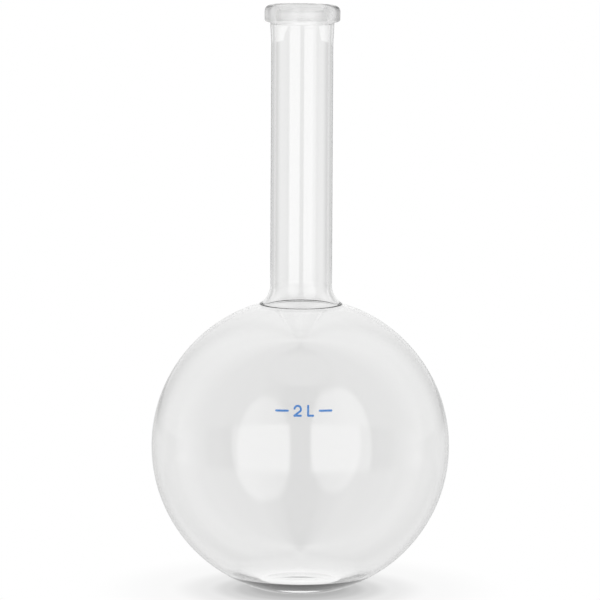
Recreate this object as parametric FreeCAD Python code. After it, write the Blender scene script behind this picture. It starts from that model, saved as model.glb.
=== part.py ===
import FreeCAD, Part
import math
import os

# A long-necked boiling flask of 2 litres, in millimetres.
# The origin is the centre of the flat under the bulb and +Z runs up the neck.
# The bulb, the seal, the neck and the lip are turned about the Z axis and meet
# face to face, as fused glass does. -Y is the front, where the capacity mark is.

# Bulb
BULB_RADIUS = 83.0
BULB_WALL = 1.7
BASE_FLAT_RADIUS = 22.0
BASE_EDGE_BLEND = 12.0

# Thick pool of glass inside the bulb, over the flat
FLOOR_THICKNESS = 4.2
FLOOR_ARC = 190.0
FLOOR_BLEND = 25.0

# Neck, with a short taper that widens it under the lip
NECK_RADIUS = 17.15
BORE_RADIUS = 14.8
TAPER_RADIUS = 17.7
TAPER_HEIGHT = 10.5

# Seal that joins the neck to the bulb, with a low ridge on the flare inside it
SHOULDER_BLEND = 12.0
SEAL_ANGLE = math.radians(19.0)
RIDGE_ANGLE = math.radians(57.0)
RIDGE_HEIGHT = 0.3
RIDGE_RADIUS = 0.5
RIDGE_BLEND = 2.0

# Lip
OVERALL_HEIGHT = 326.0
LIP_RADIUS = 20.9
LIP_HEIGHT = 9.1
LIP_TOP_BLEND = 3.4
LIP_MOUTH_BLEND = 2.4
LIP_UNDER_BLEND = 1.4
LIP_NECK_BLEND = 1.3

# Capacity mark in fired enamel: "2 L" between two dashes
MARK_THICKNESS = 0.12
MARK_LATITUDE = math.radians(21.8)
MARK_OFFSET = 1.8
MARK_HALF_WIDTH = 15.5
MARK_HEIGHT = 6.2
MARK_STROKE = 1.1
DASH_LENGTH = 7.4
DIGIT_WIDTH = 4.6
LETTER_WIDTH = 3.8
DIGIT_LEFT = -5.6
LETTER_LEFT = 1.8

BASE_Z = 0.0
BULB_INNER_RADIUS = BULB_RADIUS - BULB_WALL
BULB_CENTRE_Z = math.sqrt(BULB_RADIUS**2 - BASE_FLAT_RADIUS**2)
LIP_UNDER_Z = OVERALL_HEIGHT - LIP_HEIGHT
LIP_BASE_Z = LIP_UNDER_Z - LIP_NECK_BLEND
HALF_STROKE = MARK_STROKE / 2

# The shoulder is an arc that touches the neck's outside and the bulb's outside. The
# flare inside it is an arc of the same reach that touches the bore and the bulb's inside.
SHOULDER_REACH = NECK_RADIUS + SHOULDER_BLEND
SHOULDER_TOP_Z = BULB_CENTRE_Z + math.sqrt((BULB_RADIUS + SHOULDER_BLEND) ** 2 - SHOULDER_REACH**2)
FLARE_RADIUS = SHOULDER_REACH - BORE_RADIUS
FLARE_TOP_Z = BULB_CENTRE_Z + math.sqrt((BULB_INNER_RADIUS + FLARE_RADIUS) ** 2 - SHOULDER_REACH**2)


def at(radius, height):
    """A point of the half-section that is turned about the Z axis."""
    return FreeCAD.Vector(radius, 0, height)


BULB_CENTRE = at(0, BULB_CENTRE_Z)
SHOULDER_CENTRE = at(SHOULDER_REACH, SHOULDER_TOP_Z)
FLARE_CENTRE = at(SHOULDER_REACH, FLARE_TOP_Z)


def on_circle(centre, radius, angle):
    """The point at an angle from straight up, turning outwards."""
    return centre + at(math.sin(angle), math.cos(angle)) * radius


def towards(centre, target, radius):
    """The point on a circle that lies on the way from its centre to the target."""
    return centre + (target - centre).normalize() * radius


def meetings(centre_a, radius_a, centre_b, radius_b):
    """The two points where two circles meet, the one nearer to the axis first."""
    across = centre_b - centre_a
    apart = across.Length
    along = (radius_a**2 - radius_b**2 + apart**2) / (2 * apart)
    unit = across / apart
    aside = at(unit.z, -unit.x) * math.sqrt(radius_a**2 - along**2)
    middle = centre_a + unit * along
    return sorted((middle - aside, middle + aside), key=lambda point: point.x)


def line(start, end):
    return Part.LineSegment(start, end).toShape()


def arc(start, centre, end):
    """The shorter arc from start to end."""
    radius = (start - centre).Length
    middle = towards(centre, (start + end) / 2, radius)
    return Part.Arc(start, middle, end).toShape()


def turned(edges):
    """A closed half-section turned once about the Z axis."""
    section = Part.Face(Part.Wire(edges))
    return section.revolve(FreeCAD.Vector(0, 0, 0), FreeCAD.Vector(0, 0, 1), 360)


def bulb():
    outer_edge = on_circle(BULB_CENTRE, BULB_RADIUS, SEAL_ANGLE)
    inner_edge = on_circle(BULB_CENTRE, BULB_INNER_RADIUS, SEAL_ANGLE)
    equator = at(BULB_RADIUS, BULB_CENTRE_Z)
    inner_equator = at(BULB_INNER_RADIUS, BULB_CENTRE_Z)

    blend_height = BASE_Z + BASE_EDGE_BLEND
    blend_reach = BULB_RADIUS - BASE_EDGE_BLEND
    blend_radius = math.sqrt(blend_reach**2 - (BULB_CENTRE_Z - blend_height) ** 2)
    base_centre = at(blend_radius, blend_height)
    base_side = towards(BULB_CENTRE, base_centre, BULB_RADIUS)
    flat_edge = at(blend_radius, BASE_Z)

    floor_centre = at(0, BASE_Z + FLOOR_THICKNESS + FLOOR_ARC)
    pool_centre = meetings(
        BULB_CENTRE, BULB_INNER_RADIUS - FLOOR_BLEND, floor_centre, FLOOR_ARC - FLOOR_BLEND
    )[1]
    pool_side = towards(BULB_CENTRE, pool_centre, BULB_INNER_RADIUS)
    pool_edge = towards(floor_centre, pool_centre, FLOOR_ARC)
    floor_middle = at(0, BASE_Z + FLOOR_THICKNESS)

    return turned(
        [
            arc(outer_edge, BULB_CENTRE, equator),
            arc(equator, BULB_CENTRE, base_side),
            arc(base_side, base_centre, flat_edge),
            line(flat_edge, at(0, BASE_Z)),
            line(at(0, BASE_Z), floor_middle),
            arc(floor_middle, floor_centre, pool_edge),
            arc(pool_edge, pool_centre, pool_side),
            arc(pool_side, BULB_CENTRE, inner_equator),
            arc(inner_equator, BULB_CENTRE, inner_edge),
            line(inner_edge, outer_edge),
        ]
    )


def neck_seal():
    """The shoulder, with a ridge that stands off the flare inside it."""
    outer_edge = on_circle(BULB_CENTRE, BULB_RADIUS, SEAL_ANGLE)
    inner_edge = on_circle(BULB_CENTRE, BULB_INNER_RADIUS, SEAL_ANGLE)
    shoulder_side = towards(BULB_CENTRE, SHOULDER_CENTRE, BULB_RADIUS)
    shoulder_top = at(NECK_RADIUS, SHOULDER_TOP_Z)
    seam_outer = at(NECK_RADIUS, FLARE_TOP_Z)
    seam_inner = at(BORE_RADIUS, FLARE_TOP_Z)
    flare_side = towards(BULB_CENTRE, FLARE_CENTRE, BULB_INNER_RADIUS)

    inwards = -at(math.cos(RIDGE_ANGLE), math.sin(RIDGE_ANGLE))
    ridge_centre = FLARE_CENTRE + inwards * (FLARE_RADIUS + RIDGE_HEIGHT - RIDGE_RADIUS)
    upper, lower = meetings(
        FLARE_CENTRE, FLARE_RADIUS + RIDGE_BLEND, ridge_centre, RIDGE_RADIUS + RIDGE_BLEND
    )
    lower_start = towards(FLARE_CENTRE, lower, FLARE_RADIUS)
    lower_end = towards(ridge_centre, lower, RIDGE_RADIUS)
    upper_end = towards(ridge_centre, upper, RIDGE_RADIUS)
    upper_start = towards(FLARE_CENTRE, upper, FLARE_RADIUS)
    ridge_top = ridge_centre + inwards * RIDGE_RADIUS

    return turned(
        [
            line(seam_inner, seam_outer),
            line(seam_outer, shoulder_top),
            arc(shoulder_top, SHOULDER_CENTRE, shoulder_side),
            arc(shoulder_side, BULB_CENTRE, outer_edge),
            line(outer_edge, inner_edge),
            arc(inner_edge, BULB_CENTRE, flare_side),
            arc(flare_side, FLARE_CENTRE, lower_start),
            arc(lower_start, lower, lower_end),
            Part.Arc(lower_end, ridge_top, upper_end).toShape(),
            arc(upper_end, upper, upper_start),
            arc(upper_start, FLARE_CENTRE, seam_inner),
        ]
    )


def neck_tube():
    taper_z = LIP_BASE_Z - TAPER_HEIGHT
    corners = [
        at(BORE_RADIUS, FLARE_TOP_Z),
        at(NECK_RADIUS, FLARE_TOP_Z),
        at(NECK_RADIUS, taper_z),
        at(TAPER_RADIUS, LIP_BASE_Z),
        at(BORE_RADIUS, LIP_BASE_Z),
    ]
    edges = [line(a, b) for a, b in zip(corners, corners[1:] + corners[:1])]
    return turned(edges)


def rim():
    under_z = LIP_UNDER_Z + LIP_UNDER_BLEND
    crown_z = OVERALL_HEIGHT - LIP_TOP_BLEND
    mouth_z = OVERALL_HEIGHT - LIP_MOUTH_BLEND
    neck_side = at(TAPER_RADIUS, LIP_BASE_Z)
    neck_blend = at(TAPER_RADIUS + LIP_NECK_BLEND, LIP_BASE_Z)
    under_inner = at(TAPER_RADIUS + LIP_NECK_BLEND, LIP_UNDER_Z)
    under_blend = at(LIP_RADIUS - LIP_UNDER_BLEND, LIP_UNDER_Z)
    under_outer = at(LIP_RADIUS, under_z)
    crown_outer = at(LIP_RADIUS, crown_z)
    crown_top = at(LIP_RADIUS - LIP_TOP_BLEND, OVERALL_HEIGHT)
    mouth_top = at(BORE_RADIUS + LIP_MOUTH_BLEND, OVERALL_HEIGHT)
    mouth_side = at(BORE_RADIUS, mouth_z)
    return turned(
        [
            line(at(BORE_RADIUS, LIP_BASE_Z), neck_side),
            arc(neck_side, neck_blend, under_inner),
            line(under_inner, under_blend),
            arc(under_blend, at(LIP_RADIUS - LIP_UNDER_BLEND, under_z), under_outer),
            line(under_outer, crown_outer),
            arc(crown_outer, at(LIP_RADIUS - LIP_TOP_BLEND, crown_z), crown_top),
            line(crown_top, mouth_top),
            arc(mouth_top, at(BORE_RADIUS + LIP_MOUTH_BLEND, mouth_z), mouth_side),
            line(mouth_side, at(BORE_RADIUS, LIP_BASE_Z)),
        ]
    )


def stroked(edges):
    """The outline of a stroke drawn along a bent line, with round ends."""
    return Part.Wire(edges).makeOffset2D(HALF_STROKE, 0, False, False)


def dash(left):
    """The outline of a straight stroke, with round ends."""
    middle = MARK_HEIGHT / 2
    start = at(left + HALF_STROKE, middle)
    end = at(left + DASH_LENGTH - HALF_STROKE, middle)
    rise = at(0, HALF_STROKE)
    reach = at(HALF_STROKE, 0)
    return Part.Wire(
        [
            line(start + rise, end + rise),
            Part.Arc(end + rise, end + reach, end - rise).toShape(),
            line(end - rise, start - rise),
            Part.Arc(start - rise, start - reach, start + rise).toShape(),
        ]
    )


def digit_two(left):
    """A bowl over a slanting stem that stands on a bar."""
    bowl_radius = DIGIT_WIDTH / 2 - HALF_STROKE
    bowl_centre = at(left + DIGIT_WIDTH / 2, MARK_HEIGHT - HALF_STROKE - bowl_radius)
    bowl_left = on_circle(bowl_centre, bowl_radius, math.radians(-80))
    bowl_top = on_circle(bowl_centre, bowl_radius, 0)
    bowl_end = on_circle(bowl_centre, bowl_radius, math.radians(120))
    bar_left = at(left + HALF_STROKE, HALF_STROKE)
    bar_right = at(left + DIGIT_WIDTH - HALF_STROKE, HALF_STROKE)
    return stroked(
        [
            arc(bowl_left, bowl_centre, bowl_top),
            arc(bowl_top, bowl_centre, bowl_end),
            line(bowl_end, bar_left),
            line(bar_left, bar_right),
        ]
    )


def letter_l(left):
    top = at(left + HALF_STROKE, MARK_HEIGHT - HALF_STROKE)
    corner = at(left + HALF_STROKE, HALF_STROKE)
    foot = at(left + LETTER_WIDTH - HALF_STROKE, HALF_STROKE)
    return stroked([line(top, corner), line(corner, foot)])


def capacity_mark():
    """Each sign is a stroke drawn on the front of the bulb, a thin skin that follows its curve."""
    centre_line = FreeCAD.Vector(
        MARK_OFFSET,
        -BULB_RADIUS,
        BULB_CENTRE_Z + BULB_RADIUS * math.sin(MARK_LATITUDE) - MARK_HEIGHT / 2,
    )
    signs = [
        dash(-MARK_HALF_WIDTH),
        digit_two(DIGIT_LEFT),
        letter_l(LETTER_LEFT),
        dash(MARK_HALF_WIDTH - DASH_LENGTH),
    ]
    outer_ball = Part.makeSphere(BULB_RADIUS + MARK_THICKNESS, BULB_CENTRE)
    inner_ball = Part.makeSphere(BULB_RADIUS, BULB_CENTRE)
    skins = []
    for sign in signs:
        sign.translate(centre_line)
        block = Part.Face(sign).extrude(FreeCAD.Vector(0, BULB_RADIUS / 2, 0))
        skins.extend(block.common(outer_ball).cut(inner_ball).Solids)
    return Part.makeCompound(skins)


NODES = {
    "bulb": bulb,
    "neck_seal": neck_seal,
    "neck_tube": neck_tube,
    "rim": rim,
    "capacity_mark": capacity_mark,
}

os.makedirs("parts", exist_ok=True)
for name, make in NODES.items():
    make().exportStep(f"parts/{name}.step")
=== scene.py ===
import math

import bmesh
import bpy
from mathutils import Euler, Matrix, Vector, noise


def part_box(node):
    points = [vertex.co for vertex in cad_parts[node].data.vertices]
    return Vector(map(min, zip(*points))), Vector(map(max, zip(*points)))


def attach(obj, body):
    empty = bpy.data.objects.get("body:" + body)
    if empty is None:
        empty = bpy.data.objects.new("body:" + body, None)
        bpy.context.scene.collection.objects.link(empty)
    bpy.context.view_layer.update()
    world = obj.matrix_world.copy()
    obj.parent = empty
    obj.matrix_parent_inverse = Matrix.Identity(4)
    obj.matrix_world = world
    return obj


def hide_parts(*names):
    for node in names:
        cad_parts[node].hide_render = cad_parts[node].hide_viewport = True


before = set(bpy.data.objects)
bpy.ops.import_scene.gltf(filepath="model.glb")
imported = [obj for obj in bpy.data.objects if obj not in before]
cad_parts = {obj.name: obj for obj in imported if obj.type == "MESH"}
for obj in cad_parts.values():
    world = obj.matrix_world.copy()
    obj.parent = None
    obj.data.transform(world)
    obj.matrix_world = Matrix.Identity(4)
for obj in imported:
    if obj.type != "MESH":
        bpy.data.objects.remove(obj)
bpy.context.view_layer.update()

# ---------------------------------------------------------------- sizes, in metres
MM = 0.001

bulb_low, bulb_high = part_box("bulb")
seal_low, seal_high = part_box("neck_seal")
neck_low, neck_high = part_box("neck_tube")
rim_low, rim_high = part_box("rim")

BASE_Z = bulb_low.z
BULB_RADIUS = (bulb_high.x - bulb_low.x) / 2
BULB_WALL = 1.7 * MM
BULB_INNER = BULB_RADIUS - BULB_WALL
BASE_EDGE_BLEND = 12.0 * MM
FLOOR_THICKNESS = 4.2 * MM
FLOOR_ARC = 190.0 * MM
FLOOR_BLEND = 25.0 * MM

NECK_RADIUS = 17.15 * MM
NECK_BASE_Z = neck_low.z
BORE_RADIUS = 14.8 * MM
TAPER_RADIUS = neck_high.x
TAPER_HEIGHT = 10.5 * MM

SHOULDER_BLEND = 12.0 * MM
SEAL_ANGLE = math.asin(seal_high.x / BULB_RADIUS)
FLARE_RADIUS = SHOULDER_BLEND + NECK_RADIUS - BORE_RADIUS

# A low ridge stands on the flare, this far round from level.
RIDGE_ANGLE = math.radians(57)
RIDGE_HEIGHT = 0.3 * MM
RIDGE_RADIUS = 0.5 * MM
RIDGE_BLEND = 2.0 * MM

LIP_BASE_Z = rim_low.z
LIP_TOP_Z = rim_high.z
LIP_RADIUS = rim_high.x
LIP_TOP_BLEND = 3.4 * MM
LIP_MOUTH_BLEND = 2.4 * MM
LIP_UNDER_BLEND = 1.4 * MM
LIP_NECK_BLEND = 1.3 * MM

# Faults of handmade glass
BALL_SWELL = 0.05 * MM
BORE_LOBES = 0.03 * MM
LIP_FACETS_LARGE = 0.10 * MM
LIP_FACETS_SMALL = 0.06 * MM
LIP_TILT = 0.007

# Glass and enamel
GLASS_IOR = 1.47
CLEAR_TINT = (0.996, 0.996, 0.995, 1)
GREY_TINT = (0.990, 0.991, 0.989, 1)
ENAMEL_IOR = 1.5
ENAMEL_BLUE = (0.065, 0.215, 0.56, 1)
ENAMEL_WORN = (0.14, 0.33, 0.68, 1)
ENAMEL_RELIEF = 0.02 * MM

# Fineness of the meshes
AROUND = 256
ARC_STEP = math.radians(1.5)
FINE_STEP = math.radians(9)


# ---------------------------------------------------------------- outlines
def at(radius, height):
    """A point of the half-section that is turned about the Z axis."""
    return Vector((radius, height))


def on_circle(centre, radius, angle):
    """The point at an angle from straight up, turning outwards."""
    return centre + at(math.sin(angle), math.cos(angle)) * radius


def towards(centre, target, radius):
    """The point on a circle that lies on the way from its centre to the target."""
    return centre + (target - centre).normalized() * radius


def meetings(centre_a, radius_a, centre_b, radius_b):
    """The two points where two circles meet, the one nearer to the axis first."""
    across = centre_b - centre_a
    apart = across.length
    along = (radius_a**2 - radius_b**2 + apart**2) / (2 * apart)
    unit = across / apart
    aside = at(unit.y, -unit.x) * math.sqrt(radius_a**2 - along**2)
    middle = centre_a + unit * along
    return sorted((middle - aside, middle + aside), key=lambda point: point.x)


def line(start, end, steps=1):
    """Points from start up to, but without, end."""
    return [start.lerp(end, i / steps) for i in range(steps)]


def arc(start, centre, end, step=ARC_STEP):
    """Points of the shorter arc from start up to, but without, end."""
    turn = (start - centre).angle_signed(end - centre)
    steps = max(2, math.ceil(abs(turn) / step))
    radius = (start - centre).length
    first = math.atan2(start.y - centre.y, start.x - centre.x)
    angles = [first - turn * i / steps for i in range(steps)]
    return [centre + at(math.cos(a), math.sin(a)) * radius for a in angles]


BULB_CENTRE = at(0, bulb_high.z - BULB_RADIUS * math.cos(SEAL_ANGLE))
SHOULDER_REACH = NECK_RADIUS + SHOULDER_BLEND
SHOULDER_CENTRE = at(
    SHOULDER_REACH,
    BULB_CENTRE.y + math.sqrt((BULB_RADIUS + SHOULDER_BLEND) ** 2 - SHOULDER_REACH**2),
)


def bulb_outline():
    """The ball with a small flat under it and a pool of thicker glass over the flat."""
    outer_edge = on_circle(BULB_CENTRE, BULB_RADIUS, SEAL_ANGLE)
    inner_edge = on_circle(BULB_CENTRE, BULB_INNER, SEAL_ANGLE)
    equator = BULB_CENTRE + at(BULB_RADIUS, 0)
    inner_equator = BULB_CENTRE + at(BULB_INNER, 0)

    blend_z = BASE_Z + BASE_EDGE_BLEND
    blend_reach = BULB_RADIUS - BASE_EDGE_BLEND
    base_centre = at(math.sqrt(blend_reach**2 - (BULB_CENTRE.y - blend_z) ** 2), blend_z)
    base_side = towards(BULB_CENTRE, base_centre, BULB_RADIUS)
    flat_edge = at(base_centre.x, BASE_Z)

    floor_centre = at(0, BASE_Z + FLOOR_THICKNESS + FLOOR_ARC)
    pool_centre = meetings(
        BULB_CENTRE, BULB_INNER - FLOOR_BLEND, floor_centre, FLOOR_ARC - FLOOR_BLEND
    )[1]
    pool_side = towards(BULB_CENTRE, pool_centre, BULB_INNER)
    pool_edge = towards(floor_centre, pool_centre, FLOOR_ARC)
    floor_middle = at(0, BASE_Z + FLOOR_THICKNESS)
    outside = (
        arc(outer_edge, BULB_CENTRE, equator)
        + arc(equator, BULB_CENTRE, base_side)
        + arc(base_side, base_centre, flat_edge)
        + line(flat_edge, at(0, BASE_Z), 6)
        + [at(0, BASE_Z)]
    )
    inside = (
        arc(floor_middle, floor_centre, pool_edge, ARC_STEP / 2)
        + arc(pool_edge, pool_centre, pool_side)
        + arc(pool_side, BULB_CENTRE, inner_equator)
        + arc(inner_equator, BULB_CENTRE, inner_edge)
        + [inner_edge]
    )
    outline = outside + inside
    return outline, {len(outline) - 1}


def seal_outline():
    """The shoulder. Inside, the bore flares into the bulb, with a low ridge on the flare."""
    outer_edge = on_circle(BULB_CENTRE, BULB_RADIUS, SEAL_ANGLE)
    inner_edge = on_circle(BULB_CENTRE, BULB_INNER, SEAL_ANGLE)
    shoulder_side = towards(BULB_CENTRE, SHOULDER_CENTRE, BULB_RADIUS)
    shoulder_top = at(NECK_RADIUS, SHOULDER_CENTRE.y)
    bore_end = at(BORE_RADIUS, NECK_BASE_Z)
    flare_centre = at(SHOULDER_REACH, NECK_BASE_Z)
    flare_side = towards(BULB_CENTRE, flare_centre, BULB_INNER)

    inwards = -at(math.cos(RIDGE_ANGLE), math.sin(RIDGE_ANGLE))
    ridge_centre = flare_centre + inwards * (FLARE_RADIUS + RIDGE_HEIGHT - RIDGE_RADIUS)
    upper, lower = meetings(
        flare_centre, FLARE_RADIUS + RIDGE_BLEND, ridge_centre, RIDGE_RADIUS + RIDGE_BLEND
    )
    lower_start = towards(flare_centre, lower, FLARE_RADIUS)
    lower_end = towards(ridge_centre, lower, RIDGE_RADIUS)
    ridge_tip = ridge_centre + inwards * RIDGE_RADIUS
    upper_end = towards(ridge_centre, upper, RIDGE_RADIUS)
    upper_start = towards(flare_centre, upper, FLARE_RADIUS)
    outside = (
        line(at(NECK_RADIUS, NECK_BASE_Z), shoulder_top)
        + arc(shoulder_top, SHOULDER_CENTRE, shoulder_side, ARC_STEP * 2)
        + arc(shoulder_side, BULB_CENTRE, outer_edge)
        + [outer_edge]
    )
    inside = (
        arc(inner_edge, BULB_CENTRE, flare_side)
        + arc(flare_side, flare_centre, lower_start)
        + arc(lower_start, lower, lower_end, FINE_STEP)
        + arc(lower_end, ridge_centre, ridge_tip, FINE_STEP)
        + arc(ridge_tip, ridge_centre, upper_end, FINE_STEP)
        + arc(upper_end, upper, upper_start, FINE_STEP)
        + arc(upper_start, flare_centre, bore_end, ARC_STEP * 2)
        + [bore_end]
    )
    outline = outside + inside
    return outline, {len(outside) - 1, len(outline) - 1}


def neck_outline():
    """The straight tube, with a short taper that widens it under the lip."""
    taper_z = LIP_BASE_Z - TAPER_HEIGHT
    outside = (
        line(at(TAPER_RADIUS, LIP_BASE_Z), at(NECK_RADIUS, taper_z), 8)
        + line(at(NECK_RADIUS, taper_z), at(NECK_RADIUS, NECK_BASE_Z), 60)
        + [at(NECK_RADIUS, NECK_BASE_Z)]
    )
    inside = line(at(BORE_RADIUS, NECK_BASE_Z), at(BORE_RADIUS, LIP_BASE_Z), 68)
    inside.append(at(BORE_RADIUS, LIP_BASE_Z))
    outline = outside + inside
    return outline, {len(outside) - 1, len(outline) - 1}


def rim_outline():
    """The thick lip, which rolls into the neck below and into the bore above."""
    under_z = LIP_BASE_Z + LIP_NECK_BLEND
    neck_side = at(TAPER_RADIUS, LIP_BASE_Z)
    neck_blend = at(TAPER_RADIUS + LIP_NECK_BLEND, LIP_BASE_Z)
    under_inner = at(neck_blend.x, under_z)
    under_blend = at(LIP_RADIUS - LIP_UNDER_BLEND, under_z + LIP_UNDER_BLEND)
    under_outer = at(LIP_RADIUS, under_blend.y)
    crown_blend = at(LIP_RADIUS - LIP_TOP_BLEND, LIP_TOP_Z - LIP_TOP_BLEND)
    crown_outer = at(LIP_RADIUS, crown_blend.y)
    crown_top = at(crown_blend.x, LIP_TOP_Z)
    mouth_blend = at(BORE_RADIUS + LIP_MOUTH_BLEND, LIP_TOP_Z - LIP_MOUTH_BLEND)
    mouth_top = at(mouth_blend.x, LIP_TOP_Z)
    mouth_side = at(BORE_RADIUS, mouth_blend.y)
    inside = line(mouth_side, at(BORE_RADIUS, LIP_BASE_Z), 10) + [at(BORE_RADIUS, LIP_BASE_Z)]
    outside = (
        arc(neck_side, neck_blend, under_inner, FINE_STEP)
        + line(under_inner, at(under_blend.x, under_z))
        + arc(at(under_blend.x, under_z), under_blend, under_outer, FINE_STEP)
        + line(under_outer, crown_outer, 6)
        + arc(crown_outer, crown_blend, crown_top, FINE_STEP)
        + line(crown_top, mouth_top)
        + arc(mouth_top, mouth_blend, mouth_side, FINE_STEP)
    )
    outline = inside + outside
    return outline, {len(inside) - 1}


# ---------------------------------------------------------------- meshes
def eased(value, low, high):
    """0 up to low, 1 from high on, smooth between them."""
    share = min(1.0, max(0.0, (value - low) / (high - low)))
    return share * share * (3 - 2 * share)


def handmade(radius, height, turn):
    """Where a point of the true turned shape lies on glass that was blown and tooled by hand."""
    x = radius * math.cos(turn)
    y = radius * math.sin(turn)
    place = Vector((x, y, height))

    # The blown ball is very slightly uneven, and its flat and the neck are not.
    ball = eased(height, 8 * MM, 30 * MM) * (1 - eased(height, 140 * MM, 158 * MM))
    swell = BALL_SWELL * ball * noise.noise(place * 22.0)

    # The drawn tube has faint lobes in its bore.
    tube = eased(height, NECK_BASE_Z - 4 * MM, NECK_BASE_Z + 12 * MM)
    bore = 1 - eased(radius, BORE_RADIUS, NECK_RADIUS)
    lobes = BORE_LOBES * tube * bore * math.cos(3 * turn + 0.7 + 4.0 * height)

    # The lip was rolled with a tool, so it is tilted and has soft facets.
    lip = eased(height, LIP_BASE_Z - 1 * MM, LIP_TOP_Z - 3 * MM)
    large_facets = LIP_FACETS_LARGE * lip * math.cos(7 * turn + 0.4)
    small_facets = LIP_FACETS_SMALL * lip * math.cos(11 * turn + 1.9)
    tilt = LIP_TILT * lip * x

    grown = radius + swell + lobes + large_facets + small_facets if radius > 1e-6 else 0.0
    return Vector((grown * math.cos(turn), grown * math.sin(turn), height - tilt))


def turned(name, outline, seams):
    """Turns a closed outline about the Z axis. The stretches of the outline in seams take slot 1."""
    mesh = bmesh.new()
    turns = [2 * math.pi * i / AROUND for i in range(AROUND)]
    rings = []
    for point in outline:
        on_axis = point.x < 1e-7
        spots = [0.0] if on_axis else turns
        rings.append([mesh.verts.new(handmade(point.x, point.y, turn)) for turn in spots])
    for i, ring in enumerate(rings):
        after = rings[(i + 1) % len(rings)]
        if len(ring) == 1 and len(after) == 1:
            continue
        for j in range(AROUND):
            k = (j + 1) % AROUND
            corners = (
                ring[j % len(ring)],
                after[j % len(after)],
                after[k % len(after)],
                ring[k % len(ring)],
            )
            face = mesh.faces.new(list(dict.fromkeys(corners)))
            face.smooth = i not in seams
            face.material_index = 1 if i in seams else 0
    bmesh.ops.recalc_face_normals(mesh, faces=mesh.faces)
    for edge in mesh.edges:
        edge.smooth = len({face.material_index for face in edge.link_faces}) == 1
    data = bpy.data.meshes.new(name)
    mesh.to_mesh(data)
    mesh.free()
    piece = bpy.data.objects.new(name, data)
    bpy.context.scene.collection.objects.link(piece)
    return piece


# ---------------------------------------------------------------- shader helpers
def new_material(name):
    material = bpy.data.materials.new(name)
    material.use_nodes = True
    return material, material.node_tree.nodes, material.node_tree.links


def maths(tree, operation, *values):
    """A Math node. Each value is a number or an output."""
    node = tree.nodes.new("ShaderNodeMath")
    node.operation = operation
    for socket, value in zip(node.inputs, values):
        if isinstance(value, (int, float)):
            socket.default_value = value
        else:
            tree.links.new(value, socket)
    return node.outputs[0]


def stepped(tree, value, low, high, first, last):
    """first where value is under low, last where it is over high, and smooth between them."""
    node = tree.nodes.new("ShaderNodeMapRange")
    node.interpolation_type = "SMOOTHSTEP"
    tree.links.new(value, node.inputs["Value"])
    for socket, number in (("From Min", low), ("From Max", high), ("To Min", first), ("To Max", last)):
        node.inputs[socket].default_value = number
    return node.outputs["Result"]


def texture_noise(tree, vector, scale, detail):
    node = tree.nodes.new("ShaderNodeTexNoise")
    node.inputs["Scale"].default_value = scale
    node.inputs["Detail"].default_value = detail
    tree.links.new(vector, node.inputs["Vector"])
    return node.outputs["Fac"]


def object_place(tree, stretch=(1, 1, 1)):
    """Object coordinates, stretched."""
    place = tree.nodes.new("ShaderNodeTexCoord")
    mapping = tree.nodes.new("ShaderNodeMapping")
    mapping.inputs["Scale"].default_value = stretch
    tree.links.new(place.outputs["Object"], mapping.inputs["Vector"])
    return mapping.outputs["Vector"]


# ---------------------------------------------------------------- materials
def glass_material(name, haze, waves, wave_stretch, wave_scale):
    """Clear glass with a trace of grey, faint handling marks and the waves that forming it left."""
    material, nodes, links = new_material(name)
    tree = material.node_tree
    glass = nodes["Principled BSDF"]
    glass.inputs["Transmission Weight"].default_value = 1.0
    glass.inputs["IOR"].default_value = GLASS_IOR

    marks = texture_noise(tree, object_place(tree), 55.0, 5.0)
    links.new(stepped(tree, marks, 0.55, 0.85, haze, haze + 0.05), glass.inputs["Roughness"])

    tint = nodes.new("ShaderNodeMix")
    tint.data_type = "RGBA"
    tint.inputs["A"].default_value = CLEAR_TINT
    tint.inputs["B"].default_value = GREY_TINT
    links.new(texture_noise(tree, object_place(tree), 30.0, 2.0), tint.inputs["Factor"])
    links.new(tint.outputs["Result"], glass.inputs["Base Color"])

    bump = nodes.new("ShaderNodeBump")
    bump.inputs["Distance"].default_value = waves
    links.new(texture_noise(tree, object_place(tree, wave_stretch), wave_scale, 1.0), bump.inputs["Height"])
    links.new(bump.outputs["Normal"], glass.inputs["Normal"])
    return material


def seam_material():
    """Fused glass: light crosses the join as if it weren't there."""
    material, nodes, links = new_material("fused_seam")
    nodes.remove(nodes["Principled BSDF"])
    clear = nodes.new("ShaderNodeBsdfTransparent")
    links.new(clear.outputs[0], nodes["Material Output"].inputs["Surface"])
    return material


def enamel_material():
    """Blue enamel, fired on: satin, a little uneven in colour and worn thin in specks."""
    material, nodes, links = new_material("blue_enamel")
    tree = material.node_tree
    enamel = nodes["Principled BSDF"]
    enamel.inputs["IOR"].default_value = ENAMEL_IOR

    colour = nodes.new("ShaderNodeMix")
    colour.data_type = "RGBA"
    colour.inputs["A"].default_value = ENAMEL_BLUE
    colour.inputs["B"].default_value = ENAMEL_WORN
    wear = texture_noise(tree, object_place(tree), 900.0, 4.0)
    links.new(stepped(tree, wear, 0.45, 0.70, 0.0, 1.0), colour.inputs["Factor"])
    links.new(colour.outputs["Result"], enamel.inputs["Base Color"])
    links.new(stepped(tree, wear, 0.3, 0.7, 0.32, 0.5), enamel.inputs["Roughness"])

    bump = nodes.new("ShaderNodeBump")
    bump.inputs["Distance"].default_value = ENAMEL_RELIEF
    links.new(texture_noise(tree, object_place(tree), 2500.0, 3.0), bump.inputs["Height"])
    links.new(bump.outputs["Normal"], enamel.inputs["Normal"])
    return material


BLOWN = glass_material("blown_glass", 0.0, 0.002 * MM, (1, 1, 1), 30.0)
DRAWN = glass_material("drawn_glass", 0.0, 0.002 * MM, (1, 1, 0.06), 120.0)
TOOLED = glass_material("tooled_glass", 0.24, 0.05 * MM, (1, 1, 0.25), 260.0)
FUSED = seam_material()

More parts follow.
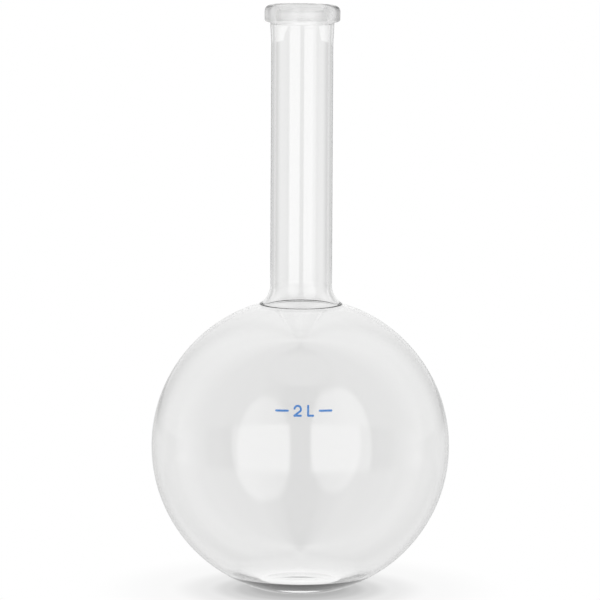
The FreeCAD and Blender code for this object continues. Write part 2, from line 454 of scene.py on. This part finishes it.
for node, outline, glass in (
    ("bulb", bulb_outline, BLOWN),
    ("neck_seal", seal_outline, BLOWN),
    ("neck_tube", neck_outline, DRAWN),
    ("rim", rim_outline, TOOLED),
):
    points, seams = outline()
    piece = turned(node + "_glass", points, seams)
    piece.data.materials.append(glass)
    piece.data.materials.append(FUSED)
    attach(piece, "root")
    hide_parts(node)

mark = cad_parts["capacity_mark"]
mark.data.materials.clear()
mark.data.materials.append(enamel_material())


# ---------------------------------------------------------------- studio
# The studio turns with the camera, so its places are given as a turn and a rise in degrees: a turn of
# 0 is towards the camera, 180 straight away from it, and a rise of 0 is level.

# The table. Its front part ends at TABLE_RADIUS, and behind the flask it sweeps on.
TABLE_RADIUS = 0.45
TABLE_FADE = 0.15
FRONT_END = 95.0
BACK_START = 125.0
FLOOR_REACH = 40.0
FLOOR_GAP = 0.05 * MM

# Right under the flask the table has a level of its own, a painted pool of light. It fades out from
# GLOW_START to GLOW_END.
PAINTED_LIGHT_POOL = 0.95
GLOW_START = 0.025
GLOW_END = 0.045

# Brightness by turn, for the room and for the table. FAR_CHANGE is a factor on the table's brightness
# by turn. It sets in from FAR_START and is full from FAR_END on.
ROOM_LEVELS = (
    (0, 0.36),
    (55, 0.42),
    (75, 0.55),
    (90, 0.90),
    (108, 1.12),
    (125, 0.95),
    (148, 0.62),
    (163, 0.86),
    (180, 1.08),
)
TABLE_LEVELS = (
    (0, 0.20),
    (12, 0.26),
    (26, 0.64),
    (42, 0.98),
    (65, 0.90),
    (95, 0.78),
    (130, 0.80),
    (180, 0.80),
)
FAR_CHANGE = ((0, 1.0), (132, 1.0), (148, 0.80), (162, 0.78), (176, 1.11), (180, 1.11))
FAR_START = 0.9
FAR_END = 1.8

# Two soft boxes in front of the flask, sized in degrees
LEFT_BOX = {
    "middle": -29.0,
    "half_width": 21.0,
    "half_height": 44.0,
    "squareness": 2.4,
    "strength": 0.95,
}
RIGHT_BOX = {
    "middle": 32.5,
    "half_width": 24.5,
    "half_height": 50.0,
    "squareness": 3.0,
    "strength": 1.20,
}

# The contact shadow that the camera sees, painted on the floor by the distance from its middle
SHADOW_MIDDLE = (0, -6 * MM, 0)
SHADOW_LEVELS = (
    (0.0, 0.42),
    (0.022, 0.46),
    (0.031, 0.56),
    (0.040, 0.69),
    (0.052, 0.83),
    (0.074, 0.95),
    (0.12, 1.0),
)

# Camera
CAMERA_PLACE = (0, -2.6, 0.475)
CAMERA_PITCH = math.radians(90 - 6.865)
CAMERA_ROLL = math.radians(-0.28)
CAMERA_YAW = math.radians(0.046)
CAMERA_LENS = 282.5

# Light has to pass many surfaces of thick glass before it is given up
BOUNCES = 40


def direction_angles(tree, direction):
    """The signed turn and the rise of a direction, in degrees. Positive turns are on the right."""
    to_camera = tree.nodes.new("ShaderNodeVectorTransform")
    to_camera.vector_type = "VECTOR"
    to_camera.convert_from = "WORLD"
    to_camera.convert_to = "CAMERA"
    tree.links.new(direction, to_camera.inputs["Vector"])
    seen = tree.nodes.new("ShaderNodeSeparateXYZ")
    tree.links.new(to_camera.outputs["Vector"], seen.inputs[0])
    upright = tree.nodes.new("ShaderNodeSeparateXYZ")
    tree.links.new(direction, upright.inputs[0])
    forwards = maths(tree, "MULTIPLY", seen.outputs["Z"], -1.0)
    turn = maths(tree, "DEGREES", maths(tree, "ARCTAN2", seen.outputs["X"], forwards))
    rise = maths(tree, "DEGREES", maths(tree, "ARCSINE", upright.outputs["Z"]))
    return turn, rise


def shaded(tree, value, stops):
    """A smooth curve through stops, each a value and a level."""
    node = tree.nodes.new("ShaderNodeValToRGB")
    node.color_ramp.interpolation = "EASE"
    elements = node.color_ramp.elements
    span = stops[-1][0]
    peak = max(level for _, level in stops)
    for i, (place, level) in enumerate(stops):
        share = level / peak
        element = elements[i] if i < 2 else elements.new(place / span)
        element.position = place / span
        element.color = (share, share, share, 1)
    tree.links.new(maths(tree, "DIVIDE", value, span), node.inputs["Fac"])
    return maths(tree, "MULTIPLY", node.outputs["Color"], peak)


def soft_box(tree, turn, rise, middle, half_width, half_height, squareness, strength):
    """A glowing panel with a round or a square outline and a soft edge."""
    across = maths(tree, "DIVIDE", maths(tree, "SUBTRACT", turn, middle), half_width)
    along = maths(tree, "DIVIDE", rise, half_height)
    power = [
        maths(tree, "POWER", maths(tree, "ABSOLUTE", part), squareness) for part in (across, along)
    ]
    return stepped(tree, maths(tree, "ADD", *power), 0.75, 1.25, strength, 0.0)


def studio_light(tree, direction):
    """How bright the room is in a direction, seen in or through the glass."""
    turn, rise = direction_angles(tree, direction)
    around = maths(tree, "ABSOLUTE", turn)
    room = shaded(tree, around, ROOM_LEVELS)
    left = soft_box(tree, turn, rise, **LEFT_BOX)
    right = soft_box(tree, turn, rise, **RIGHT_BOX)
    return maths(tree, "ADD", room, maths(tree, "ADD", left, right))


def table_light(tree, direction, distance):
    """How bright the table is for the glass, by direction and by distance from the shadow's middle."""
    turn, _ = direction_angles(tree, direction)
    around = maths(tree, "ABSOLUTE", turn)
    far = shaded(tree, around, TABLE_LEVELS)
    beyond = stepped(tree, distance, FAR_START, FAR_END, 0.0, 1.0)
    change = maths(tree, "SUBTRACT", shaded(tree, around, FAR_CHANGE), 1.0)
    change = maths(tree, "MULTIPLY", beyond, change)
    far = maths(tree, "MULTIPLY", far, maths(tree, "ADD", change, 1.0))
    # Near the shadow's middle the painted pool of light takes over from the table's brightness.
    near = stepped(tree, distance, GLOW_START, GLOW_END, 1.0, 0.0)
    mix = tree.nodes.new("ShaderNodeMix")
    tree.links.new(near, mix.inputs["Factor"])
    tree.links.new(far, mix.inputs["A"])
    mix.inputs["B"].default_value = PAINTED_LIGHT_POOL
    return mix.outputs["Result"]


def for_glass(tree, plain, glass_light):
    """glass_light for what is seen in or through glass, and plain for everything else."""
    path = tree.nodes.new("ShaderNodeLightPath")
    by_glass = maths(
        tree, "MAXIMUM", path.outputs["Is Transmission Ray"], path.outputs["Is Glossy Ray"]
    )
    mix = tree.nodes.new("ShaderNodeMix")
    tree.links.new(by_glass, mix.inputs["Factor"])
    if isinstance(plain, (int, float)):
        mix.inputs["A"].default_value = plain
    else:
        tree.links.new(plain, mix.inputs["A"])
    tree.links.new(glass_light, mix.inputs["B"])
    return mix.outputs["Result"]


def studio_world():
    world = bpy.data.worlds.new("studio")
    bpy.context.scene.world = world
    world.use_nodes = True
    world.cycles.sampling_method = "NONE"
    tree = world.node_tree
    place = tree.nodes.new("ShaderNodeTexCoord")
    light = studio_light(tree, place.outputs["Generated"])
    tree.links.new(for_glass(tree, 1.0, light), tree.nodes["Background"].inputs["Color"])


def studio_floor():
    """A plain white table, with the flask's soft contact shadow painted on it. It looks endless to the
    camera.
    """
    mesh = bmesh.new()
    bmesh.ops.create_circle(mesh, cap_ends=True, radius=FLOOR_REACH, segments=64)
    data = bpy.data.meshes.new("studio_floor")
    mesh.to_mesh(data)
    mesh.free()
    piece = bpy.data.objects.new("studio_floor", data)
    bpy.context.scene.collection.objects.link(piece)
    piece.location.z = BASE_Z - FLOOR_GAP
    material, nodes, links = new_material("studio_floor")
    tree = material.node_tree
    nodes.remove(nodes["Principled BSDF"])

    place = nodes.new("ShaderNodeNewGeometry")
    away = nodes.new("ShaderNodeVectorMath")
    away.operation = "SCALE"
    away.inputs["Scale"].default_value = -1.0
    links.new(place.outputs["Incoming"], away.inputs[0])
    length = nodes.new("ShaderNodeVectorMath")
    length.operation = "DISTANCE"
    length.inputs[1].default_value = SHADOW_MIDDLE
    links.new(place.outputs["Position"], length.inputs[0])
    distance = length.outputs["Value"]

    # Painted shadow: the floor's glow is darker around the flask's foot, for all that is not seen in or
    # through the glass.
    shadow_end = SHADOW_LEVELS[-1][0]
    shadow = shaded(tree, maths(tree, "MINIMUM", distance, shadow_end), SHADOW_LEVELS)
    table = table_light(tree, away.outputs[0], distance)
    turn, _ = direction_angles(tree, away.outputs[0])
    ahead = stepped(tree, maths(tree, "ABSOLUTE", turn), FRONT_END, BACK_START, 1.0, 0.0)
    beyond = stepped(tree, distance, TABLE_RADIUS - TABLE_FADE, TABLE_RADIUS + TABLE_FADE, 0.0, 1.0)
    edge = nodes.new("ShaderNodeMix")
    links.new(maths(tree, "MULTIPLY", ahead, beyond), edge.inputs["Factor"])
    links.new(table, edge.inputs["A"])
    links.new(studio_light(tree, away.outputs[0]), edge.inputs["B"])

    glow = nodes.new("ShaderNodeEmission")
    links.new(for_glass(tree, shadow, edge.outputs["Result"]), glow.inputs["Color"])
    links.new(glow.outputs[0], nodes["Material Output"].inputs["Surface"])
    data.materials.append(material)


def camera():
    data = bpy.data.cameras.new("camera")
    data.lens = CAMERA_LENS
    data.sensor_width = 36
    data.clip_end = 200
    piece = bpy.data.objects.new("camera", data)
    bpy.context.scene.collection.objects.link(piece)
    piece.location = CAMERA_PLACE
    piece.rotation_euler = Euler((CAMERA_PITCH, CAMERA_ROLL, CAMERA_YAW))
    bpy.context.scene.camera = piece


studio_world()
studio_floor()
camera()
bpy.context.scene.view_settings.view_transform = "Standard"
bpy.context.scene.cycles.max_bounces = BOUNCES
bpy.context.scene.cycles.transmission_bounces = BOUNCES
bpy.context.scene.cycles.transparent_max_bounces = BOUNCES
